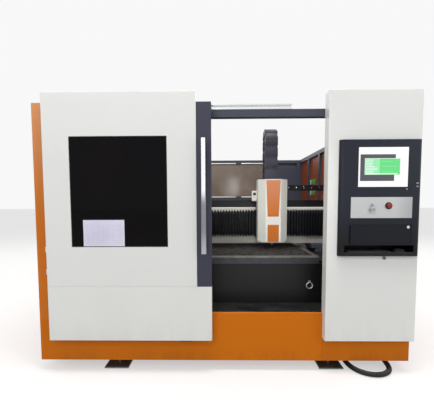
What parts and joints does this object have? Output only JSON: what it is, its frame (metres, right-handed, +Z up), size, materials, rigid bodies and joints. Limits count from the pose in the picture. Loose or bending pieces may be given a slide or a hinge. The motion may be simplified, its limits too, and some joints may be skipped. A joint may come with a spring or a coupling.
{
  "type": "fiber laser cutting machine",
  "caption": "Enclosed sheet-metal laser cutter: cabin with sliding front door, operator console, slatted bed, travelling gantry and cutting head.",
  "frame": {"origin": "middle of the machine's footprint, on the floor", "axes": "+X along the gantry beam, to the right seen from the front door; +Y into the machine, away from the front door; +Z up"},
  "size_m": [3.03, 3.92, 2.24],
  "materials": {
    "orange_paint": "semi-gloss",
    "white_paint": "semi-gloss",
    "dark_paint": "satin",
    "black_paint": "satin",
    "grey_paint": "satin",
    "slat_steel": "scorched",
    "rail_steel": "ground",
    "brushed_steel": "brushed",
    "plate_aluminium": "satin",
    "dark_glass": "gloss",
    "bronze_glass": "gloss",
    "screen_face": "gloss",
    "black_plastic": "matt",
    "black_rubber": "matt",
    "bellows_cloth": "matt",
    "chain_plastic": "matt",
    "stop_red": "gloss",
    "copper": "polished",
    "foot_steel": "plated"
  },
  "bodies": {
    "cabin": {"base_frame": "orange_paint", "left_wall": "orange_paint", "right_wall": "orange_paint", "rear_wall": "orange_paint", "rear_window": "bronze_glass", "front_panel": "orange_paint", "header_beam": "dark_paint", "door_rail": "rail_steel", "door_guide": "black_plastic", "column": "white_paint", "console_housing": "dark_paint", "monitor": "screen_face", "switch_plate": "plate_aluminium", "bed_frame": "black_paint", "slat_grid": "slat_steel", "y_rail_left": "rail_steel", "y_rail_right": "rail_steel", "rack_left": "rail_steel", "rack_right": "rail_steel", "foot_front_left": "foot_steel", "foot_front_right": "foot_steel", "foot_middle_left": "foot_steel", "foot_middle_right": "foot_steel", "foot_rear_left": "foot_steel", "foot_rear_right": "foot_steel", "hose": "black_rubber", "hose_gland_left": "black_plastic", "hose_gland_right": "black_plastic"},
    "door": {"door_panel": "white_paint", "door_window": "dark_glass", "door_stile": "dark_paint", "door_lower_panel": "white_paint", "door_handle": "brushed_steel", "door_hanger_left": "brushed_steel", "door_hanger_right": "brushed_steel"},
    "stop_button": {"emergency_stop": "stop_red"},
    "key": {"key_switch": "brushed_steel"},
    "flap": {"console_flap": "black_plastic"},
    "tray": {"keyboard_tray": "black_plastic", "keyboard": "black_plastic"},
    "lock": {"cam_lock": "rail_steel"},
    "gantry": {"gantry_beam": "grey_paint", "gantry_saddle_left": "dark_paint", "gantry_saddle_right": "dark_paint", "y_motor_left": "black_paint", "y_motor_right": "black_paint", "bellows_left": "bellows_cloth", "bellows_right": "bellows_cloth", "chain_tray": "black_paint", "x_cable_chain": "chain_plastic"},
    "left_pinion": {"pinion_left": "rail_steel"},
    "right_pinion": {"pinion_right": "rail_steel"},
    "carriage": {"carriage_plate": "grey_paint", "head_cover": "white_paint", "cover_strip": "orange_paint", "sensor_box": "white_paint", "head_cable_chain": "chain_plastic"},
    "head": {"cutting_head": "brushed_steel", "nozzle": "copper"},
    "drawer": {"scrap_drawer": "orange_paint"}
  },
  "joints": [
    {"name": "door_slide", "type": "slide", "parent": "cabin", "child": "door", "axis": [1, 0, 0], "range_m": [0, 0.89]},
    {"name": "gantry_slide", "type": "slide", "parent": "cabin", "child": "gantry", "axis": [0, 1, 0], "range_m": [-0.45, 2.45]},
    {"name": "head_slide", "type": "slide", "parent": "gantry", "child": "carriage", "axis": [1, 0, 0], "range_m": [-1.25, 0.25], "deforming": ["bellows_left", "bellows_right", "x_cable_chain"]},
    {"name": "z_slide", "type": "slide", "parent": "carriage", "child": "head", "axis": [0, 0, 1], "range_m": [-0.015, 0.105]},
    {"name": "left_pinion_spin", "type": "hinge", "parent": "gantry", "child": "left_pinion", "pos_m": [-1.1726, -0.83, 0.835], "axis": [0, 0, 1], "range_deg": [-4700, 880]},
    {"name": "right_pinion_spin", "type": "hinge", "parent": "gantry", "child": "right_pinion", "pos_m": [1.1726, -0.83, 0.835], "axis": [0, 0, 1], "range_deg": [-880, 4700]},
    {"name": "drawer_slide", "type": "slide", "parent": "cabin", "child": "drawer", "axis": [0, 1, 0], "range_m": [0, 1.5]},
    {"name": "stop_press", "type": "slide", "parent": "cabin", "child": "stop_button", "axis": [0, 1, 0], "range_m": [0, 0.004], "stiffness_N_per_m": 400},
    {"name": "key_turn", "type": "hinge", "parent": "cabin", "child": "key", "pos_m": [1.139, -1.9333, 1.368], "axis": [0, 1, 0], "range_deg": [0, 90]},
    {"name": "flap_hinge", "type": "hinge", "parent": "cabin", "child": "flap", "pos_m": [0.981, -1.9386, 1.1425], "axis": [0, 0, -1], "range_deg": [0, 100]},
    {"name": "tray_slide", "type": "slide", "parent": "cabin", "child": "tray", "axis": [0, -1, 0], "range_m": [0, 0.18]},
    {"name": "lock_turn", "type": "hinge", "parent": "cabin", "child": "lock", "pos_m": [1.255, -1.9, 0.954], "axis": [0, 1, 0], "range_deg": [0, 90]}
  ],
  "couplings": [
    {"joint": "left_pinion_spin", "follows": "gantry_slide", "rad_per_m": -33.333},
    {"joint": "right_pinion_spin", "follows": "gantry_slide", "rad_per_m": 33.333}
  ]
}
